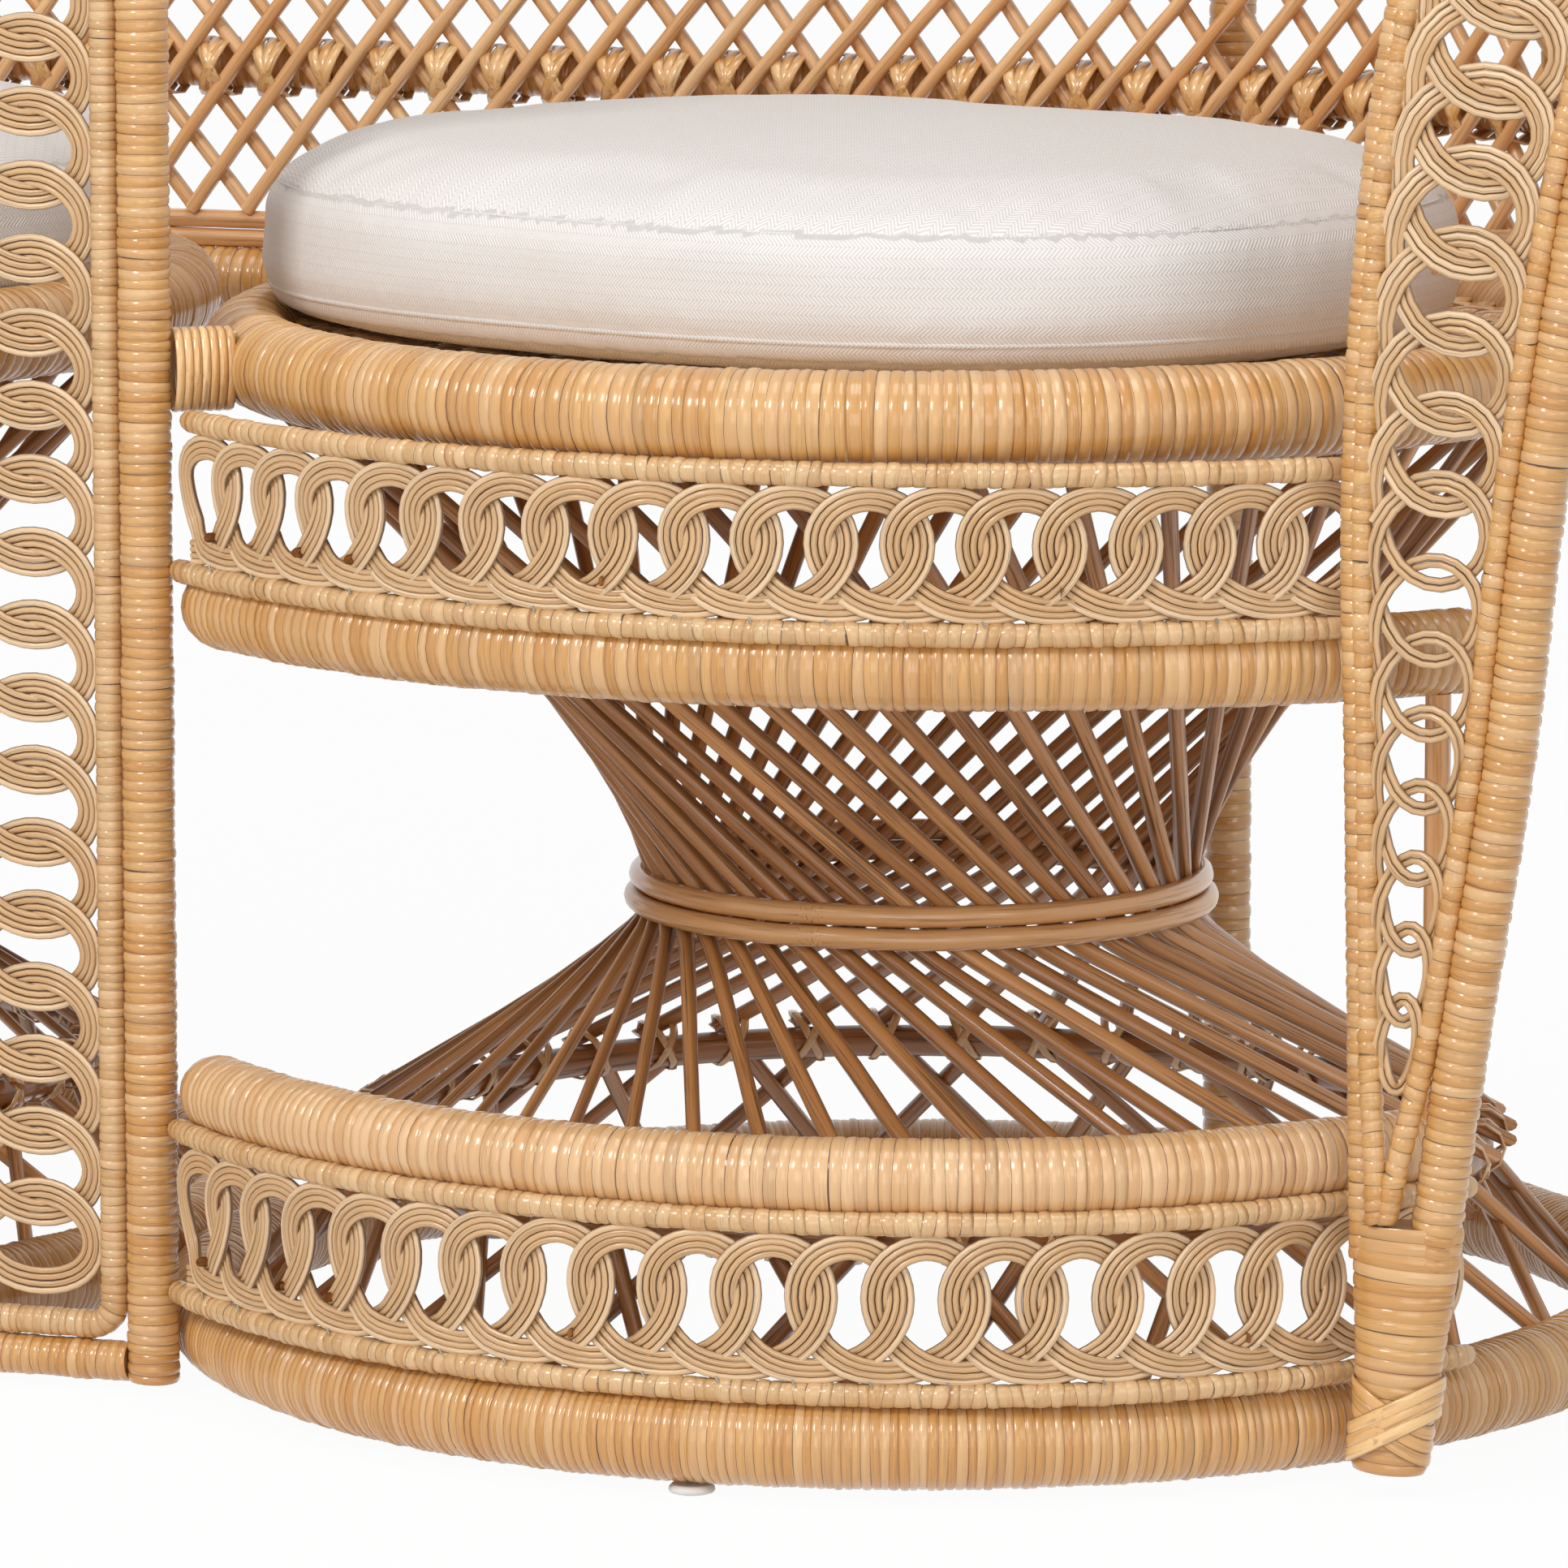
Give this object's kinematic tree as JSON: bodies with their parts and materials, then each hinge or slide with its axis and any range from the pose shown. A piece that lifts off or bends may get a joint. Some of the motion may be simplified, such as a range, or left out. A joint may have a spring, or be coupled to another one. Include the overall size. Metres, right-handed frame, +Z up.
{
  "type": "two-seat peacock chair",
  "caption": "Two-seat rattan peacock chair: cushioned hoops on hourglass drums, looped aprons and wings, a middle panel and an arched fan back.",
  "frame": {"origin": "on the floor, in the middle of the chair's outline", "axes": "+Z up, the sitters face -Y, +X to the right as seen from the front"},
  "size_m": [1.3088, 0.6294, 1.4216],
  "materials": {
    "wrapped_rattan": "satin",
    "cane_core": "satin",
    "bare_rod": "matte",
    "cotton": "matte",
    "white_plastic": "matte"
  },
  "bodies": {
    "frame": {"seat_ring_right": "wrapped_rattan", "seat_ring_left": "wrapped_rattan", "seat_deck_right": "cane_core", "seat_deck_left": "cane_core", "post_tie_right": "wrapped_rattan", "post_tie_left": "wrapped_rattan", "seat_band_rim_top_right": "wrapped_rattan", "seat_band_rim_top_left": "wrapped_rattan", "seat_band_rim_bottom_right": "wrapped_rattan", "seat_band_rim_bottom_left": "wrapped_rattan", "seat_band_rail_right": "wrapped_rattan", "seat_band_rail_left": "wrapped_rattan", "seat_band_loops_right": "cane_core", "seat_band_loops_left": "cane_core", "hourglass_right": "bare_rod", "hourglass_left": "bare_rod", "waist_hoop_right": "bare_rod", "waist_hoop_left": "bare_rod", "skirt_right": "bare_rod", "skirt_left": "bare_rod", "foot_ring_right": "wrapped_rattan", "foot_ring_left": "wrapped_rattan", "glide_a_right": "white_plastic", "glide_a_left": "white_plastic", "glide_b_right": "white_plastic", "glide_b_left": "white_plastic", "glide_c_right": "white_plastic", "glide_c_left": "white_plastic", "apron_rail_right": "wrapped_rattan", "apron_rail_left": "wrapped_rattan", "apron_rim_top_right": "wrapped_rattan", "apron_rim_top_left": "wrapped_rattan", "apron_rim_bottom_right": "wrapped_rattan", "apron_rim_bottom_left": "wrapped_rattan", "apron_loops_right": "cane_core", "apron_loops_left": "cane_core", "side_rod_right": "bare_rod", "side_rod_left": "bare_rod", "wing_leg_right": "wrapped_rattan", "wing_leg_left": "wrapped_rattan", "border_pole_inner": "wrapped_rattan", "border_pole_outer": "wrapped_rattan", "border_rim_inner": "wrapped_rattan", "border_rim_outer": "wrapped_rattan", "border_loops": "cane_core", "sill_rod_lower": "bare_rod", "sill_rod_upper": "bare_rod", "back_rail": "wrapped_rattan", "mid_rail": "wrapped_rattan", "lattice": "bare_rod", "fan": "bare_rod", "rear_stay_right": "wrapped_rattan", "rear_stay_left": "wrapped_rattan", "middle_hoop": "wrapped_rattan", "middle_rim": "wrapped_rattan", "middle_foot_rail": "wrapped_rattan", "middle_loops": "cane_core", "armrest": "wrapped_rattan"},
    "cushion_right_body": {"cushion_right": "cotton"},
    "cushion_left_body": {"cushion_left": "cotton"}
  },
  "joints": [
    {"name": "cushion_right_lift", "type": "slide", "parent": "frame", "child": "cushion_right_body", "axis": [0, 0, 1], "range_m": [0, 0.08]},
    {"name": "cushion_left_lift", "type": "slide", "parent": "frame", "child": "cushion_left_body", "axis": [0, 0, 1], "range_m": [0, 0.08]}
  ]
}
